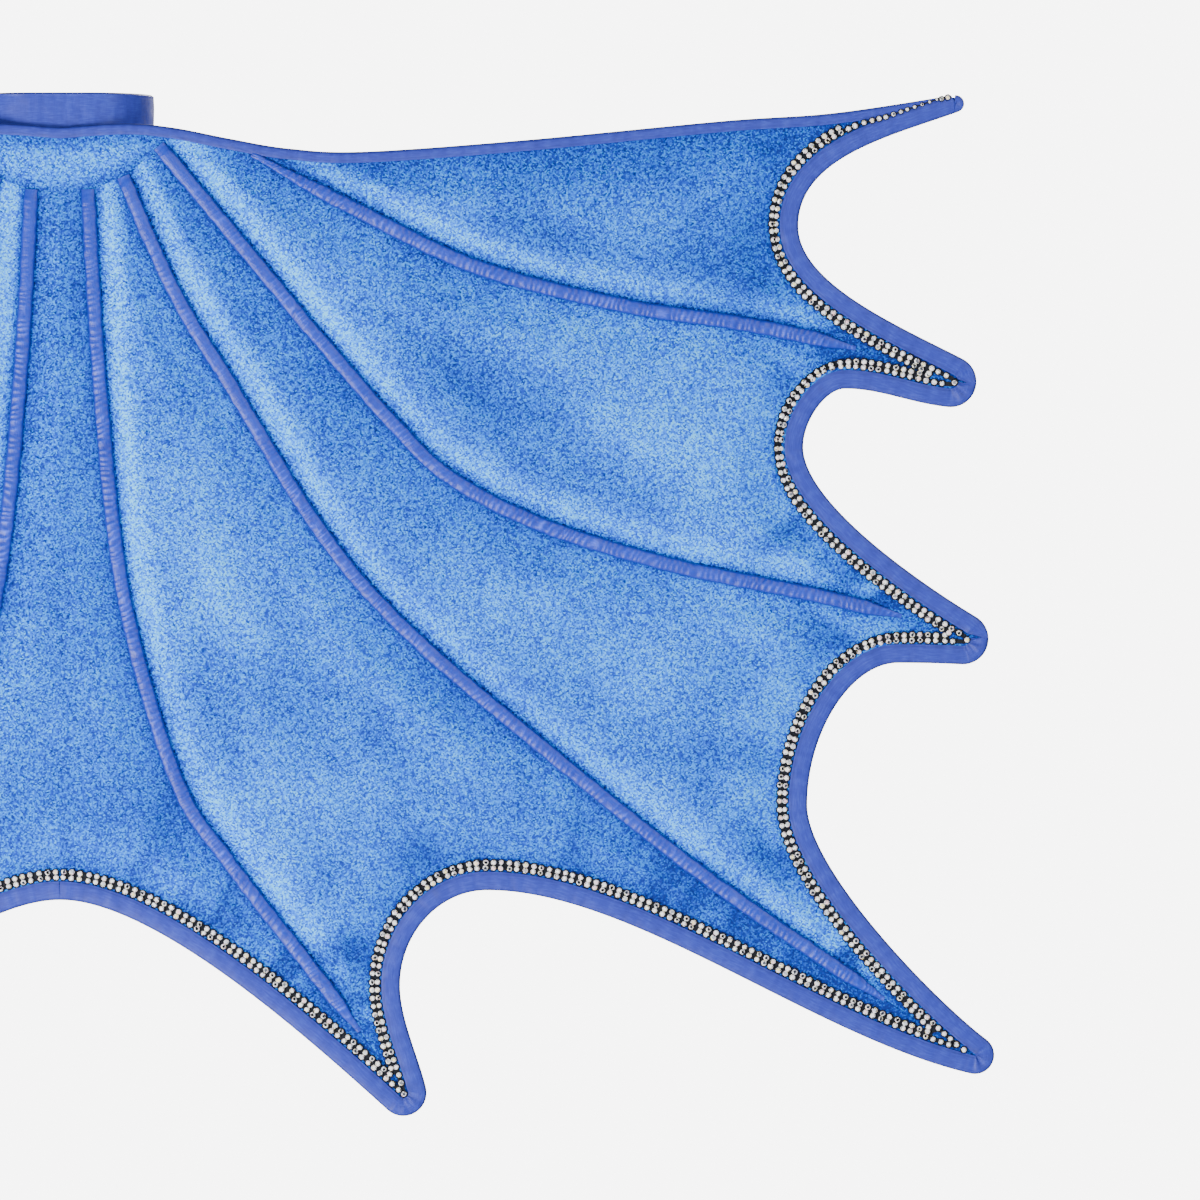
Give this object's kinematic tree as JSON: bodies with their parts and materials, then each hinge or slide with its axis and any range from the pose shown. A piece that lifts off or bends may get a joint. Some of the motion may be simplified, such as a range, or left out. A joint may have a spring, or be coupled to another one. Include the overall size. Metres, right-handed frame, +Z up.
{
  "type": "superhero cape",
  "caption": "Wing-shaped velvet dress-up cape with boned ribs fanning from a neckband, satin-bound scalloped edges and a double row of stones.",
  "frame": {"origin": "centre of the neck opening, at half the height of the neckband", "axes": "+X towards the wearer's right hand, +Y forwards out of the wearer's chest, +Z up; the stoned outer face of the cape looks along -Y"},
  "size_m": [1.159, 0.119, 0.6349],
  "materials": {
    "velvet": "glitter velvet",
    "satin": "smooth satin",
    "rib_satin": "ruched satin",
    "lining": "plain satin lining",
    "stones": "clear round stones on black net",
    "stay": "flat plastic boning",
    "elastic": "ribbed elastic",
    "tape": "hook and loop tape"
  },
  "bodies": {
    "back": {"centre_velvet": "velvet", "centre_lining": "lining", "centre_binding": "satin", "centre_stone_trim": "stones", "neck_yoke": "velvet", "neckline_binding": "satin", "neckband": "satin", "loop_tape": "tape", "right_rib_4_casing": "rib_satin", "right_rib_4_stay": "stay", "left_rib_4_casing": "rib_satin", "left_rib_4_stay": "stay"},
    "closure": {"closure_tab": "satin", "hook_tape": "tape"},
    "right_wing": {"right_lining": "lining", "right_top_binding": "satin", "right_velvet_panel_1": "velvet", "right_velvet_panel_2": "velvet", "right_velvet_panel_3": "velvet", "right_velvet_panel_4": "velvet", "right_scallop_1_binding": "satin", "right_scallop_2_binding": "satin", "right_scallop_3_binding": "satin", "right_scallop_4_binding": "satin", "right_scallop_1_stone_trim": "stones", "right_scallop_2_stone_trim": "stones", "right_scallop_3_stone_trim": "stones", "right_scallop_4_stone_trim": "stones", "right_rib_1_casing": "rib_satin", "right_rib_2_casing": "rib_satin", "right_rib_3_casing": "rib_satin", "right_rib_1_stay": "stay", "right_rib_2_stay": "stay", "right_rib_3_stay": "stay"},
    "left_wing": {"left_lining": "lining", "left_top_binding": "satin", "left_velvet_panel_1": "velvet", "left_velvet_panel_2": "velvet", "left_velvet_panel_3": "velvet", "left_velvet_panel_4": "velvet", "left_scallop_1_binding": "satin", "left_scallop_2_binding": "satin", "left_scallop_3_binding": "satin", "left_scallop_4_binding": "satin", "left_scallop_1_stone_trim": "stones", "left_scallop_2_stone_trim": "stones", "left_scallop_3_stone_trim": "stones", "left_scallop_4_stone_trim": "stones", "left_rib_1_casing": "rib_satin", "left_rib_2_casing": "rib_satin", "left_rib_3_casing": "rib_satin", "left_rib_1_stay": "stay", "left_rib_2_stay": "stay", "left_rib_3_stay": "stay"},
    "right_wrist": {"right_wrist_loop": "elastic"},
    "left_wrist": {"left_wrist_loop": "elastic"}
  },
  "joints": [
    {"name": "right_wing_sweep", "type": "hinge", "parent": "back", "child": "right_wing", "pos_m": [0.08, -0.0547, 0], "axis": [0, 0, 1], "range_deg": [-5, 75], "stiffness_Nm_per_rad": 0.3},
    {"name": "left_wing_sweep", "type": "hinge", "parent": "back", "child": "left_wing", "pos_m": [-0.08, -0.0547, 0], "axis": [0, 0, -1], "range_deg": [-5, 75], "stiffness_Nm_per_rad": 0.3},
    {"name": "right_wrist_swing", "type": "hinge", "parent": "right_wing", "child": "right_wrist", "pos_m": [0.43, -0.0544, -0.00384], "axis": [1, 0, 0], "range_deg": [0, 80]},
    {"name": "left_wrist_swing", "type": "hinge", "parent": "left_wing", "child": "left_wrist", "pos_m": [-0.43, -0.0544, -0.00384], "axis": [1, 0, 0], "range_deg": [0, 80]},
    {"name": "closure_tab_peel", "type": "hinge", "parent": "back", "child": "closure", "pos_m": [-0.0124, 0.0536, 0], "axis": [0, 0, 1], "range_deg": [0, 110]}
  ]
}
